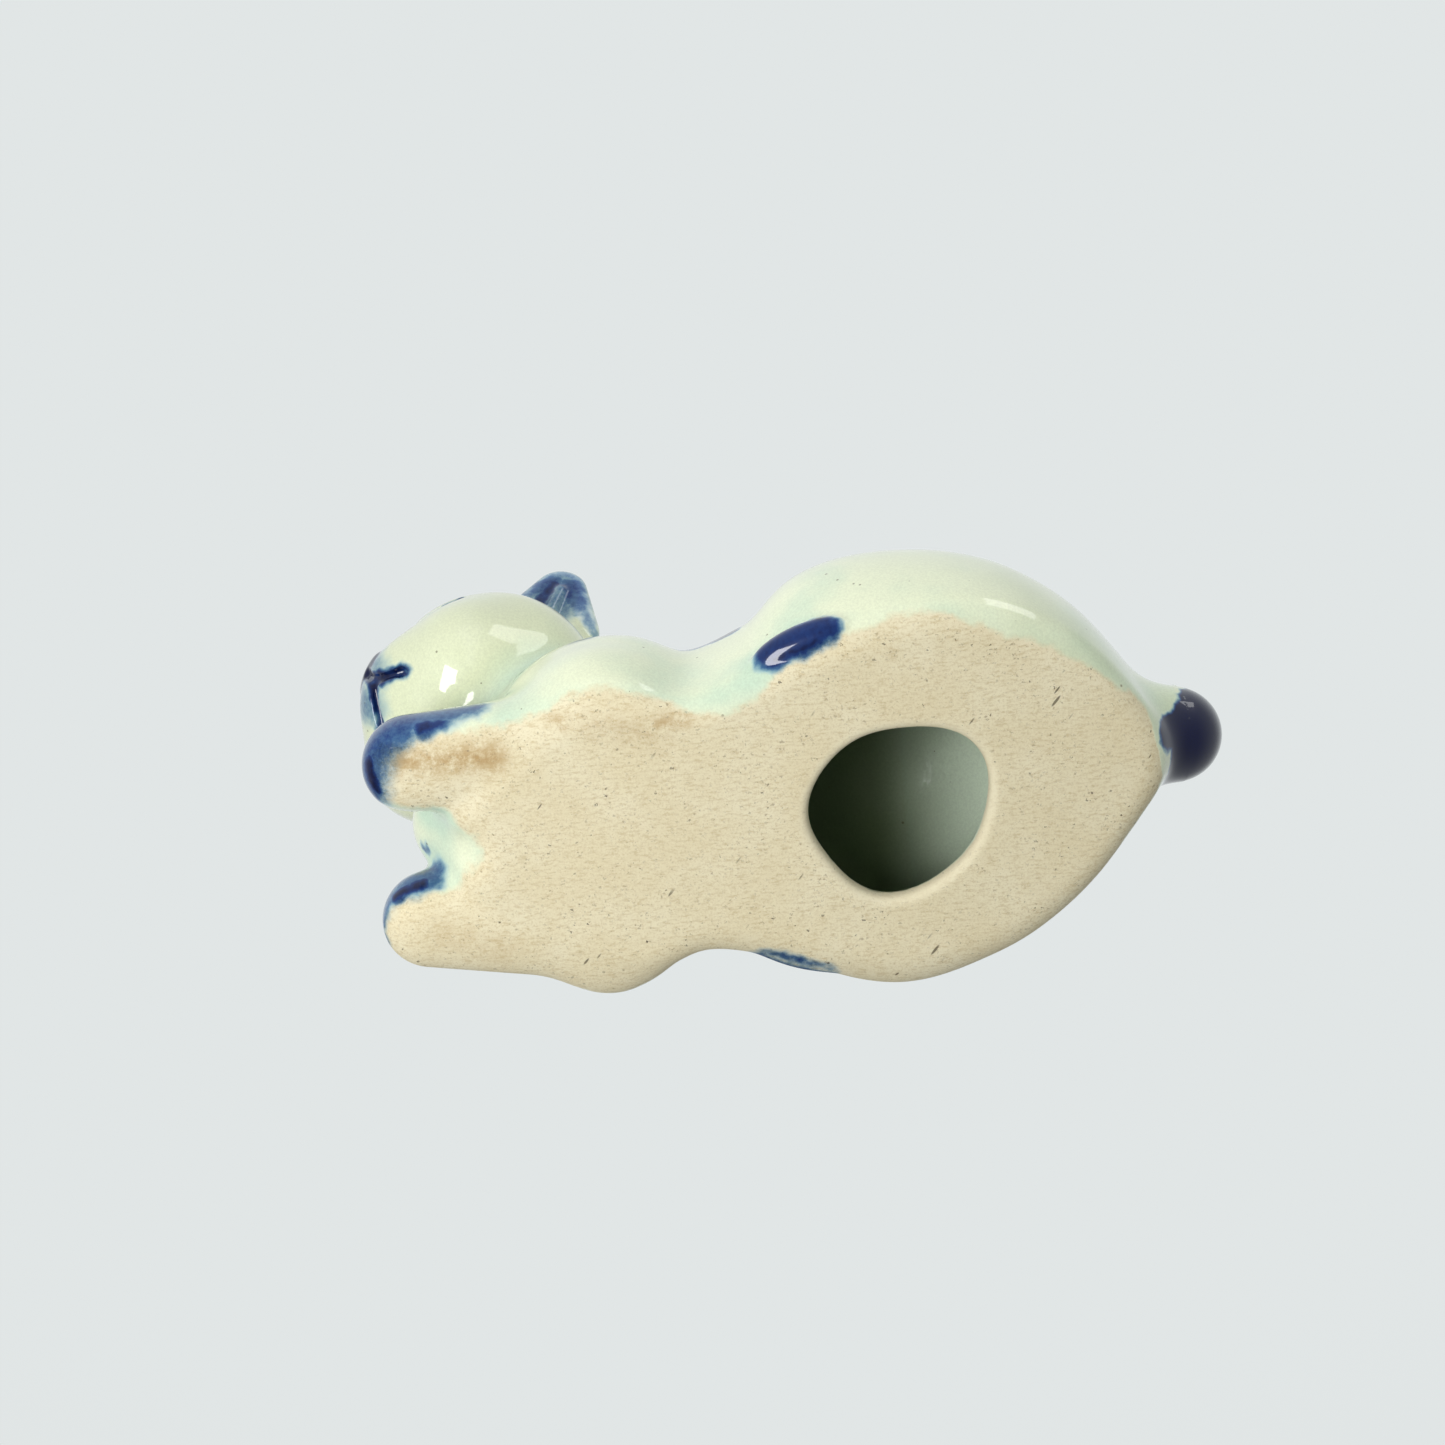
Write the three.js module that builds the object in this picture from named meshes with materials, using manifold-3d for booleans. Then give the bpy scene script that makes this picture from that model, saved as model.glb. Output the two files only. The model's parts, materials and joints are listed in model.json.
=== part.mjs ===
// A small reclining dog in glazed pottery: a hollow cast body with a casting hole in its flat
// underside, and the parts that are luted on before firing. Millimetres, +Z up, the face towards -Y.
import * as THREE from "three";
import { mergeVertices } from "three/addons/utils/BufferGeometryUtils.js";
import Module from "manifold-3d";

const wasm = await Module();
wasm.setup();

// ---- Driving dimensions -------------------------------------------------------------------------

const WALL = 3.2; // thickness of the cast wall
const SEAM = 0.3; // gap at every luted joint
const RAKE = 0.2; // how far a cutter runs past the face that it cuts

const trunk = { length: 96, width: 59.4, height: 40, middleY: 2 };
// Stations along the trunk from the chest to the rump. Each is a place on the half length, then the
// sideways shift of the spine in mm, the width and the height as shares of the trunk's own.
const STATIONS = [
  { at: -1.0, shift: 0.2, width: 0.56, height: 0.68 },
  { at: -0.55, shift: -0.1, width: 0.81, height: 0.9 },
  { at: -0.25, shift: 0.6, width: 0.68, height: 0.84 },
  { at: 0.02, shift: 1.2, width: 0.84, height: 0.93 },
  { at: 0.27, shift: 1.5, width: 0.97, height: 1.0 },
  { at: 0.55, shift: 2.9, width: 0.88, height: 0.9 },
  { at: 0.78, shift: 4.3, width: 0.68, height: 0.66 },
  { at: 1.0, shift: 5.0, width: 0.36, height: 0.42 },
];
const END_FULLNESS = 4; // exponent of the rounding at the two ends
const WIDEST_Z = 13; // height at which the trunk is widest
const UNDERCUT = 2.1; // depth of the lower half section, in widest heights

const chestY = trunk.middleY - trunk.length / 2;
const rumpY = trunk.middleY + trunk.length / 2;

const thigh = { radii: [14, 19, 17.5], inset: 14, fromRump: 35, z: 15, turn: 12 };
const castingHole = { radius: 11.8, fromThigh: -1.3, fromSpine: -0.8 };
const neckHole = { radius: 6, fromChest: 26 };

// The head's middle is set from the trunk's chest end, spine and back. It turns to its left.
const head = { radii: [18, 16, 15.4], fromChest: 5, fromSpine: 6, aboveBack: 5.8, turn: 25 };
const muzzle = { radii: [9, 7, 7], inset: 4.6, drop: 4.2 };
// An ear's root is set in from the head's side and down from its top, and its tip leans outwards.
const ear = {
  rootRadius: 7,
  tipRadius: 2,
  thickness: 6.4,
  inset: 6.4,
  sink: 8,
  back: 2.4,
  lean: [5.6, 1.6, 10.8],
  turn: 18,
};

const foreleg = {
  shoulderRadius: 9.6,
  shoulderInset: 11,
  shoulderFromChest: 18,
  pawRadius: 6.3,
  pawStance: 21.2,
  pawReach: 2.2,
  pawSink: 1.3,
};
const hindFoot = { radii: [3, 6.2, 3], inset: 1.2, fromThigh: -12, z: 6, turn: 22 };
const tail = { rootRadius: 8.6, tipRadius: 6.3, rootDepth: 10, reach: 2, lift: 1, rise: 1.2 };

// ---- Solids from three.js geometry --------------------------------------------------------------

const AROUND = 32; // faces round a large form
const FINE = 20; // faces round a small form
const FLOOR = 200; // size of the block that cuts the underside flat

/** A manifold-3d solid of a closed three.js geometry placed by a matrix. */
function solidOf(geometry, matrix = new THREE.Matrix4()) {
  const bare = geometry.clone().applyMatrix4(matrix);
  bare.deleteAttribute("normal");
  bare.deleteAttribute("uv");
  const merged = mergeVertices(bare, 1e-4);
  return new wasm.Manifold(
    new wasm.Mesh({
      numProp: 3,
      vertProperties: new Float32Array(merged.attributes.position.array),
      triVerts: new Uint32Array(merged.index.array),
    }),
  );
}

/** A placing matrix: a turn about +Z in degrees, then a move. */
function placed([x, y, z], turn = 0) {
  return new THREE.Matrix4()
    .makeTranslation(x, y, z)
    .multiply(new THREE.Matrix4().makeRotationZ(THREE.MathUtils.degToRad(turn)));
}

/** An ellipsoid with its poles fore and aft. */
function ellipsoid(radii, matrix, growth = 0, around = FINE) {
  const [rx, ry, rz] = radii.map((r) => r + growth);
  const ball = new THREE.SphereGeometry(1, around, Math.round(around * 0.6)).scale(rx, ry, rz);
  return solidOf(ball, matrix);
}

/** The outline of a ball at 0 and a smaller one at a height, joined by a straight taper. */
function taperOutline(height, rootRadius, tipRadius) {
  const lean = Math.asin((rootRadius - tipRadius) / height);
  const outline = new THREE.Path();
  outline.absarc(0, 0, rootRadius, -Math.PI / 2, lean, false);
  outline.absarc(0, height, tipRadius, lean, Math.PI / 2, false);
  const points = outline.getPoints(6);
  points[0].x = 0;
  points[points.length - 1].x = 0;
  return points;
}

/** A limb from one ball to a smaller one, with a straight taper between them. */
function limb(from, fromRadius, to, toRadius) {
  const start = new THREE.Vector3(...from);
  const along = new THREE.Vector3(...to).sub(start);
  const length = along.length();
  const turned = new THREE.Quaternion().setFromUnitVectors(
    new THREE.Vector3(0, 1, 0),
    along.normalize(),
  );
  const pose = new THREE.Matrix4().compose(start, turned, new THREE.Vector3(1, 1, 1));
  return solidOf(new THREE.LatheGeometry(taperOutline(length, fromRadius, toRadius), FINE), pose);
}

/** Everything below z, as one block. */
function below(z) {
  const block = new THREE.BoxGeometry(FLOOR, FLOOR, FLOOR);
  return solidOf(block, placed([0, 0, z - FLOOR / 2]));
}

const stationCurve = new THREE.CubicInterpolant(
  Float32Array.from(STATIONS, (s) => s.at),
  Float32Array.from(STATIONS.flatMap((s) => [s.shift, s.width, s.height])),
  3,
  new Float32Array(3),
);

/** The trunk's spine shift, half width and height at a place from -1 at the chest to 1 at the rump. */
function trunkSection(place) {
  const [shift, width, height] = stationCurve.evaluate(place);
  return { shift, halfWidth: (width * trunk.width) / 2, height: height * trunk.height };
}

/** The trunk's outer form, grown outwards or shrunk inwards, with no flat underside yet. */
function trunkForm(growth) {
  const ball = new THREE.SphereGeometry(1, AROUND, AROUND);
  const p = ball.attributes.position;
  for (let i = 0; i < p.count; i += 1) {
    const place = THREE.MathUtils.clamp(p.getY(i), -1, 1);
    const ring = Math.hypot(p.getX(i), p.getZ(i));
    const side = ring > 1e-6 ? p.getX(i) / ring : 0;
    const up = ring > 1e-6 ? p.getZ(i) / ring : 0;
    const section = trunkSection(place);
    const rounding = ring > 1e-6 ? (1 - Math.abs(place) ** END_FULLNESS) ** (1 / END_FULLNESS) : 0;
    const halfHeight = up > 0 ? section.height - WIDEST_Z : WIDEST_Z * UNDERCUT;
    p.setXYZ(
      i,
      section.shift + side * rounding * (section.halfWidth + growth),
      trunk.middleY + place * (trunk.length / 2 + growth),
      WIDEST_Z + up * rounding * (halfHeight + growth),
    );
  }
  return solidOf(ball);
}

/** The trunk's section at a y of the part. */
const sectionAt = (y) => trunkSection((y - trunk.middleY) / (trunk.length / 2));

const thighY = rumpY - thigh.fromRump;

/** A thigh, which swells out of the trunk's side. */
function thighForm(side, growth) {
  const x = sectionAt(thighY).shift + side * (trunk.width / 2 - thigh.inset);
  return ellipsoid(thigh.radii, placed([x, thighY, thigh.z], side * thigh.turn), growth);
}

/** The hollow casting's outer form: the trunk and its thighs, grown or shrunk. */
function bodyForm(growth) {
  return trunkForm(growth).add(thighForm(1, growth)).add(thighForm(-1, growth));
}

const headY = chestY + head.fromChest;
const headX = sectionAt(headY).shift + head.fromSpine;
const headMiddle = [headX, headY, sectionAt(headY).height + head.aboveBack];
const headPose = placed(headMiddle, head.turn);

/** The head with its muzzle, grown or shrunk. */
function headForm(growth) {
  const snout = placed([0, muzzle.inset - head.radii[1] - growth, -muzzle.drop]);
  return ellipsoid(head.radii, headPose, growth, AROUND).add(
    ellipsoid(muzzle.radii, headPose.clone().multiply(snout), growth),
  );
}

/** A point of the head's own frame in the part's frame. */
const onHead = (x, y, z) => new THREE.Vector3(x, y, z).applyMatrix4(headPose);

/** The open neck: a round way from the middle of the head down and back into the trunk's hollow. */
function neckWay() {
  const y = chestY + neckHole.fromChest;
  const inTrunk = [sectionAt(y).shift, y, trunk.height / 2];
  return limb(headMiddle, neckHole.radius, inTrunk, neckHole.radius - RAKE);
}

/** An ear: a round-tipped cone, flattened, from a root inside the head to its tip. */
function earForm(side) {
  const [leanOut, leanBack, leanUp] = ear.lean;
  const x = head.radii[0] - ear.inset;
  const z = head.radii[2] - ear.sink;
  const root = onHead(side * x, ear.back, z);
  const up = onHead(side * (x + leanOut), ear.back + leanBack, z + leanUp).sub(root);
  const height = up.length();
  up.normalize();
  const turn = THREE.MathUtils.degToRad(ear.turn);
  const across = new THREE.Vector3(side * Math.sin(turn), Math.cos(turn), 0).transformDirection(headPose);
  const through = new THREE.Vector3().crossVectors(across, up).normalize();
  across.crossVectors(up, through);
  const flat = new THREE.Matrix4().makeScale(1, 1, ear.thickness / (2 * ear.rootRadius));
  const pose = new THREE.Matrix4().makeBasis(across, up, through).setPosition(root).multiply(flat);
  const cone = new THREE.LatheGeometry(taperOutline(height, ear.rootRadius, ear.tipRadius), FINE);
  return solidOf(cone, pose);
}

// ---- The luted parts ----------------------------------------------------------------------------

const underside = below(0);

/** The cast body: a wall of even thickness round one hollow, open at the casting hole and the neck. */
function makeBody() {
  const hollow = bodyForm(-WALL).subtract(below(WALL));
  const drillLength = 2 * (WALL + RAKE);
  const drill = new THREE.CylinderGeometry(castingHole.radius, castingHole.radius, drillLength, 40);
  drill.rotateX(Math.PI / 2);
  const holeX = sectionAt(thighY).shift + castingHole.fromSpine;
  const hole = solidOf(drill, placed([holeX, thighY + castingHole.fromThigh, 0]));
  return bodyForm(0).subtract(underside).subtract(hollow).subtract(hole).subtract(neckWay());
}

/** The hollow head, open at the neck, seated on the body. */
function makeHead() {
  const hollow = ellipsoid(head.radii, headPose, -WALL, AROUND);
  return headForm(0).subtract(bodyForm(SEAM)).subtract(hollow).subtract(neckWay());
}

/** A foreleg from the shoulder to the paw, flat underneath. */
function makeForeleg(side) {
  const y = chestY + foreleg.shoulderFromChest;
  const section = sectionAt(y);
  const x = section.shift + side * (section.halfWidth - foreleg.shoulderInset);
  const shoulder = [x, y, foreleg.shoulderRadius];
  const paw = [
    sectionAt(chestY).shift + (side * foreleg.pawStance) / 2,
    chestY - foreleg.pawReach,
    foreleg.pawRadius - foreleg.pawSink,
  ];
  return limb(shoulder, foreleg.shoulderRadius, paw, foreleg.pawRadius)
    .subtract(underside)
    .subtract(bodyForm(SEAM))
    .subtract(headForm(SEAM));
}

/** A hind foot, which stands out of the trunk's side in front of the thigh. */
function makeHindFoot(side) {
  const y = thighY + hindFoot.fromThigh;
  const section = sectionAt(y);
  const drop = (WIDEST_Z - hindFoot.z) / (WIDEST_Z * UNDERCUT);
  const flank = section.halfWidth * Math.sqrt(1 - drop ** 2);
  const centre = [section.shift + side * (flank - hindFoot.inset), y, hindFoot.z];
  return ellipsoid(hindFoot.radii, placed(centre, -side * hindFoot.turn)).subtract(bodyForm(SEAM));
}

/** The short thick tail. */
function makeTail() {
  const x = sectionAt(rumpY).shift;
  const z = tail.rootRadius + tail.lift;
  const root = [x, rumpY - tail.rootDepth, z];
  const tip = [x, rumpY + tail.reach, z + tail.rise];
  return limb(root, tail.rootRadius, tip, tail.tipRadius).subtract(underside).subtract(bodyForm(SEAM));
}

const makeEar = (side) => earForm(side).subtract(headForm(SEAM));

// ---- The scene graph ----------------------------------------------------------------------------

const celadon = new THREE.MeshStandardMaterial({ color: 0xd3dcc0, roughness: 0.16, metalness: 0 });
const cobalt = new THREE.MeshStandardMaterial({ color: 0x1d2f78, roughness: 0.14, metalness: 0 });

/** The largest connected body of a solid as a named mesh. */
function mesh(name, solid, material) {
  const bodies = solid.decompose().sort((a, b) => b.volume() - a.volume());
  const found = bodies[0].getMesh();
  const geometry = new THREE.BufferGeometry()
    .setAttribute("position", new THREE.BufferAttribute(new Float32Array(found.vertProperties), 3))
    .setIndex(new THREE.BufferAttribute(new Uint32Array(found.triVerts), 1));
  geometry.computeVertexNormals();
  const made = new THREE.Mesh(geometry, material);
  made.name = name;
  return made;
}

const dog = new THREE.Group();
dog.add(mesh("body_shell", makeBody(), celadon));
dog.add(mesh("head", makeHead(), celadon));
for (const [side, word] of [[1, "left"], [-1, "right"]]) {
  dog.add(mesh(`${word}_ear`, makeEar(side), cobalt));
  dog.add(mesh(`${word}_foreleg`, makeForeleg(side), celadon));
  dog.add(mesh(`${word}_hind_foot`, makeHindFoot(side), cobalt));
}
dog.add(mesh("tail", makeTail(), cobalt));

// The origin is on the underside, below the middle of the whole figure.
const box = new THREE.Box3().setFromObject(dog);
const middle = box.getCenter(new THREE.Vector3());
dog.position.set(-middle.x, -middle.y, -box.min.z);

export default dog;
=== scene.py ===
"""A small reclining dog in glazed ceramic, modelled as one fired skin cut at its luted seams.

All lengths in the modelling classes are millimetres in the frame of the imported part: +Z up, the face
towards -Y, +X the animal's left. They become metres when a mesh is made.
"""

import json
import logging
import math
from collections.abc import Callable, Iterable
from dataclasses import dataclass
from enum import Enum
from itertools import pairwise

import bmesh
import bpy
import numpy as np
import openvdb
from mathutils import Matrix, Vector


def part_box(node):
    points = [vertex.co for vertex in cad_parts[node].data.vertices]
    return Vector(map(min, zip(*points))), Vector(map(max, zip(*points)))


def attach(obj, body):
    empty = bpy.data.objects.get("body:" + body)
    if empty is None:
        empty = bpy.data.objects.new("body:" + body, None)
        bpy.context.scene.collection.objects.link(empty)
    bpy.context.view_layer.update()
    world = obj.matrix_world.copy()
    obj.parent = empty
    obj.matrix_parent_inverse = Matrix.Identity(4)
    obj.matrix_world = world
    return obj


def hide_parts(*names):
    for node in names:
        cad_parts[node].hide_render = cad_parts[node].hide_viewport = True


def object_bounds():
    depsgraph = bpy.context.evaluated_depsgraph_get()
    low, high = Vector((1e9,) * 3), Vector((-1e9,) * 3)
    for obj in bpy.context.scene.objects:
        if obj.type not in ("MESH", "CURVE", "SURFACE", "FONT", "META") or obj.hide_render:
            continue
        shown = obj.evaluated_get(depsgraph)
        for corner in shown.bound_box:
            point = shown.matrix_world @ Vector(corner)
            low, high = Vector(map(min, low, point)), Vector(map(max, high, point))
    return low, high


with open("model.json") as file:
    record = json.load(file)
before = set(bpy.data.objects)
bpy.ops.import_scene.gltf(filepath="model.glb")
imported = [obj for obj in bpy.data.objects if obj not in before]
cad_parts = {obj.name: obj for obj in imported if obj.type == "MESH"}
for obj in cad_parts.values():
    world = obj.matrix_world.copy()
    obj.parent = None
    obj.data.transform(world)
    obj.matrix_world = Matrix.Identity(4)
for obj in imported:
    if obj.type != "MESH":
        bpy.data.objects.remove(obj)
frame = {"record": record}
CAD_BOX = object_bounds()

LOG = logging.getLogger("ceramic_dog")
MM = 1000.0
BODY = "root"
Point = tuple[float, float, float]
Form = Callable[[np.ndarray], np.ndarray]


class Side(Enum):
    """The two sides of the animal, by the sign of X."""

    LEFT = 1.0
    RIGHT = -1.0

    @property
    def word(self) -> str:
        """The side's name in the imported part."""
        return self.name.lower()

    def pick(self, left: float, right: float) -> float:
        """The number that belongs to this side."""
        return left if self is Side.LEFT else right


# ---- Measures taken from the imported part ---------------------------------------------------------


@dataclass(frozen=True)
class Block:
    """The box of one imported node, in millimetres."""

    low: np.ndarray
    high: np.ndarray

    @classmethod
    def of(cls, node: str) -> "Block":
        """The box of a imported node.

        Args:
            node: The node's name.

        Returns:
            Its box at rest.
        """
        low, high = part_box(node)
        return cls(np.array(low) * MM, np.array(high) * MM)

    def at(self, x: float, y: float, z: float) -> np.ndarray:
        """The point at shares of the box: 0 on its low side and 1 on its high side."""
        return self.low + (self.high - self.low) * np.array([x, y, z])


# ---- Signed distances ----------------------------------------------------------------------------


def turn_about(axis: str, degrees: float) -> np.ndarray:
    """A rotation matrix about a named axis."""
    return np.array(Matrix.Rotation(math.radians(degrees), 3, axis))


def egg(p: np.ndarray, centre: Iterable[float], radii: Iterable[float], pose: np.ndarray) -> np.ndarray:
    """The near distance to an ellipsoid.

    Args:
        p: Points, one a row.
        centre: The ellipsoid's middle.
        radii: Its three half lengths.
        pose: The rotation of its axes.

    Returns:
        Distances, negative inside.
    """
    local = (p - np.asarray(centre)) @ pose
    r = np.asarray(radii)
    near = np.linalg.norm(local / r, axis=1)
    steep = np.linalg.norm(local / (r * r), axis=1)
    return near * (near - 1.0) / np.maximum(steep, 1e-6)


def limb(p: np.ndarray, start: Iterable[float], end: Iterable[float], r0: float, r1: float) -> np.ndarray:
    """The near distance to a round limb that tapers from one ball to another.

    Args:
        p: Points, one a row.
        start: The middle of the first ball.
        end: The middle of the second ball.
        r0: The first radius.
        r1: The second radius.

    Returns:
        Distances, negative inside.
    """
    a = np.asarray(start, float)
    along = np.asarray(end, float) - a
    length = float(np.linalg.norm(along))
    y = (p - a) @ along / length
    x = np.linalg.norm(p - a - np.outer(y, along / length), axis=1)
    taper = (r0 - r1) / length
    flat = math.sqrt(1.0 - taper * taper)
    side = x * flat + y * taper - r0
    turned = y * flat - x * taper
    at_start = np.hypot(x, y) - r0
    at_end = np.hypot(x, y - length) - r1
    return np.where(turned < 0.0, at_start, np.where(turned > length * flat, at_end, side))


def join(a: np.ndarray, b: np.ndarray, soft: float) -> np.ndarray:
    """Two forms melted together over a soft width."""
    h = np.maximum(soft - np.abs(a - b), 0.0) / soft
    return np.minimum(a, b) - h * h * soft / 4.0


def carve(a: np.ndarray, b: np.ndarray, soft: float) -> np.ndarray:
    """The first form with the second cut out of it, softly."""
    return -join(-a, b, soft)


def meet(a: np.ndarray, b: np.ndarray, soft: float) -> np.ndarray:
    """What two forms share, with a soft edge."""
    return -join(-a, -b, soft)


def slope(form: Form, p: np.ndarray, step: float = 0.02) -> np.ndarray:
    """The gradient of a form.

    Args:
        form: The form.
        p: Points, one a row.
        step: The half length of the central differences.

    Returns:
        One gradient a row.
    """
    out = np.empty_like(p)
    for k in range(3):
        shift = np.zeros(3)
        shift[k] = step
        out[:, k] = (form(p + shift) - form(p - shift)) / (2.0 * step)
    return out


def smooth_curve(x: np.ndarray, knots: np.ndarray, values: np.ndarray) -> np.ndarray:
    """A smooth curve through knots, with the slopes of their neighbours.

    Args:
        x: Where it is wanted.
        knots: Rising places.
        values: The values there.

    Returns:
        The curve's values.
    """
    tangent = np.gradient(values, knots)
    x = np.clip(x, knots[0], knots[-1])
    k = np.clip(np.searchsorted(knots, x) - 1, 0, len(knots) - 2)
    gap = knots[k + 1] - knots[k]
    t = (x - knots[k]) / gap
    t2, t3 = t * t, t * t * t
    return (
        values[k] * (2 * t3 - 3 * t2 + 1)
        + tangent[k] * gap * (t3 - 2 * t2 + t)
        + values[k + 1] * (3 * t2 - 2 * t3)
        + tangent[k + 1] * gap * (t3 - t2)
    )


# ---- The forms of the animal ---------------------------------------------------------------------


@dataclass(frozen=True)
class Stroke:
    """One touch of the brush: where it runs, how wide, how soft its edge and how much colour it holds."""

    start: tuple[float, ...]
    end: tuple[float, ...]
    widths: tuple[float, float]
    soft: float
    load: float

    @classmethod
    def along(
        cls, start: np.ndarray, end: np.ndarray, widths: tuple[float, float], soft: float, load: float
    ) -> "Stroke":
        """A stroke between two points of the model."""
        return cls(tuple(float(v) for v in start), tuple(float(v) for v in end), widths, soft, load)


@dataclass(frozen=True)
class Station:
    """One section of the trunk: its place from chest 0 to rump 1, its two sides and its back."""

    at: float
    left: float
    right: float
    back: float


@dataclass
class Trunk:
    """The cast trunk, a loft of full sections, with the thighs and shoulders that swell from it."""

    block: Block
    stations: tuple[Station, ...] = (
        Station(0.00, 10.2, -14.5, 25.5),
        Station(0.08, 14.4, -19.4, 29.5),
        Station(0.18, 19.4, -24.0, 32.5),
        Station(0.27, 19.8, -24.6, 33.5),
        Station(0.35, 17.6, -21.2, 32.5),
        Station(0.43, 20.2, -22.4, 34.0),
        Station(0.52, 24.6, -25.6, 37.6),
        Station(0.63, 28.2, -28.2, 39.8),
        Station(0.73, 29.0, -26.6, 38.8),
        Station(0.82, 27.2, -23.2, 34.4),
        Station(0.90, 23.2, -17.6, 28.0),
        Station(0.97, 16.4, -9.6, 20.4),
        Station(1.03, 10.0, -3.4, 15.0),
    )
    fullness: float = 2.25
    end_fullness: float = 3.4
    widest: float = 13.0
    undercut: float = 2.0
    thigh_radii: Point = (10.5, 16.4, 15.5)
    thigh_turn: float = 10.0
    shoulder_radii: Point = (8.0, 12.0, 12.5)
    chest_radii: Point = (10.5, 14.0, 9.5)
    blend: float = 3.5

    def __post_init__(self) -> None:
        """Draws the curves of the two sides and the back through the stations."""
        knots = np.array([s.at for s in self.stations])
        self.ticks = np.linspace(-0.2, 1.2, 561)
        drawn = (
            [s.left for s in self.stations],
            [s.right for s in self.stations],
            [s.back for s in self.stations],
        )
        self.curves = [smooth_curve(self.ticks, knots, np.array(values)) for values in drawn]

    def loft(self, p: np.ndarray) -> np.ndarray:
        """The loft's own value, 0 on its surface, which isn't yet a distance."""
        place = (p[:, 1] - self.block.low[1]) / (self.block.high[1] - self.block.low[1])
        left, right, back = (np.interp(place, self.ticks, curve) for curve in self.curves)
        across = np.abs(2.0 * p[:, 0] - left - right) / (left - right)
        over = p[:, 2] - self.widest
        upright = np.where(over > 0.0, over / (back - self.widest), -over / (self.widest * self.undercut))
        end = np.abs(2.0 * place - 1.0) ** self.end_fullness
        ring = (across**self.fullness + upright**self.fullness) ** (self.end_fullness / self.fullness)
        return (ring + end) ** (1.0 / self.end_fullness) - 1.0

    def form(self, p: np.ndarray) -> np.ndarray:
        """The trunk's distance, with its thighs and shoulders."""
        value = self.loft(p)
        rise = np.linalg.norm(slope(self.loft, p), axis=1)
        d = value / np.maximum(rise, 0.012)
        for side in Side:
            thigh = self.block.at(0.495 + side.value * 0.3, 0.628, 0.385)
            shoulder = self.block.at(0.457 + side.value * 0.243, side.pick(0.220, 0.205), 0.33)
            thigh_pose = turn_about("Z", side.value * self.thigh_turn)
            d = join(d, egg(p, thigh, self.thigh_radii, thigh_pose), self.blend)
            d = join(d, egg(p, shoulder, self.shoulder_radii, turn_about("Z", -side.value * 8.0)), self.blend)
        chest = self.block.at(0.44, 0.095, 0.34)
        return join(d, egg(p, chest, self.chest_radii, np.eye(3)), self.blend)

    def strokes(self) -> list[Stroke]:
        """The small touch of blue on the flank."""
        return [Stroke((17.8, -12.6, 19.0), (19.4, -6.2, 18.6), (0.9, 1.5), 0.9, 1.0)]

    def stains(self) -> tuple[Stroke, ...]:
        """Where the bare clay is stained brown."""
        return (
            Stroke((10.8, -49.5, 0.0), (10.4, -37.5, 0.0), (1.0, 1.2), 2.6, 0.95),
            Stroke((15.2, -29.4, 0.0), (14.6, -28.0, 0.0), (0.4, 0.5), 1.6, 0.9),
            Stroke((13.6, -15.6, 0.0), (14.0, -12.6, 0.0), (0.5, 0.5), 1.9, 0.8),
            Stroke((14.0, -24.0, 0.0), (12.0, -16.0, 0.0), (1.0, 1.0), 3.0, 0.35),
            Stroke((-14.0, -46.0, 0.0), (-17.0, -38.0, 0.0), (1.0, 1.0), 3.0, 0.30),
        )


@dataclass
class Foreleg:
    """A foreleg, from the elbow on the ground to the rounded paw."""

    block: Block
    side: Side
    elbow_radius: float = 8.6
    paw_radius: float = 6.5
    left_slimming: float = 1.4

    def paw(self) -> np.ndarray:
        """The middle of the paw."""
        x = self.side.pick(8.5, -13.7)
        return np.array([x, self.block.low[1] + self.paw_radius - 0.6, self.paw_radius - 1.3])

    def elbow(self) -> np.ndarray:
        """The middle of the elbow."""
        x = self.side.pick(9.9, -15.6)
        return np.array([x, self.block.high[1] + 1.6, self.elbow_radius - 1.4])

    def form(self, p: np.ndarray) -> np.ndarray:
        """The leg's distance."""
        slim = self.side.pick(self.left_slimming, 0.0)
        elbow = self.elbow() - np.array([slim * 0.4, 0.0, slim])
        return limb(p, elbow, self.paw(), self.elbow_radius - slim, self.paw_radius)

    def strokes(self) -> list[Stroke]:
        """The blue sock."""
        paw = self.paw()
        touches = {
            Side.LEFT: (
                ((5.0, -2.4, 0.2), (-1.0, -6.0, -0.8), (4.7, 4.2), 1.8, 0.60),
                ((6.5, 2.0, -0.3), (8.0, 8.0, -0.2), (3.0, 2.1), 1.8, 0.52),
                ((5.8, 2.4, -2.9), (7.3, 5.4, -2.8), (1.0, 0.7), 1.5, 0.9),
                ((6.3, -0.5, 1.8), (3.0, -4.8, 2.6), (1.0, 0.8), 1.6, 0.75),
                ((-1.5, -4.6, -4.0), (2.5, -5.6, -3.2), (1.0, 0.8), 0.9, 1.0),
            ),
            Side.RIGHT: (
                ((1.6, -6.1, -0.2), (6.3, 0.4, -0.7), (2.4, 2.2), 1.3, 0.50),
                ((4.6, -3.4, -2.0), (5.9, -0.2, -1.6), (0.9, 0.8), 1.1, 1.0),
                ((-1.4, -6.2, -1.2), (1.8, -5.4, 2.8), (1.2, 1.8), 1.4, 0.5),
                ((8.4, -1.6, 2.8), (8.8, -1.0, 3.2), (0.8, 0.8), 0.9, 0.7),
            ),
        }
        return [Stroke.along(paw + a, paw + b, w, soft, load) for a, b, w, soft, load in touches[self.side]]

    def bulge(self, p: np.ndarray) -> np.ndarray:
        """The distance to the muscle that bulges from the trunk behind the elbow."""
        middle = self.elbow() + np.array([self.side.pick(1.9, -3.0), 2.6 + self.side.pick(1.2, 0.0), 0.6])
        return egg(p, middle, (8.4, 8.2, 8.0), np.eye(3))


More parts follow.
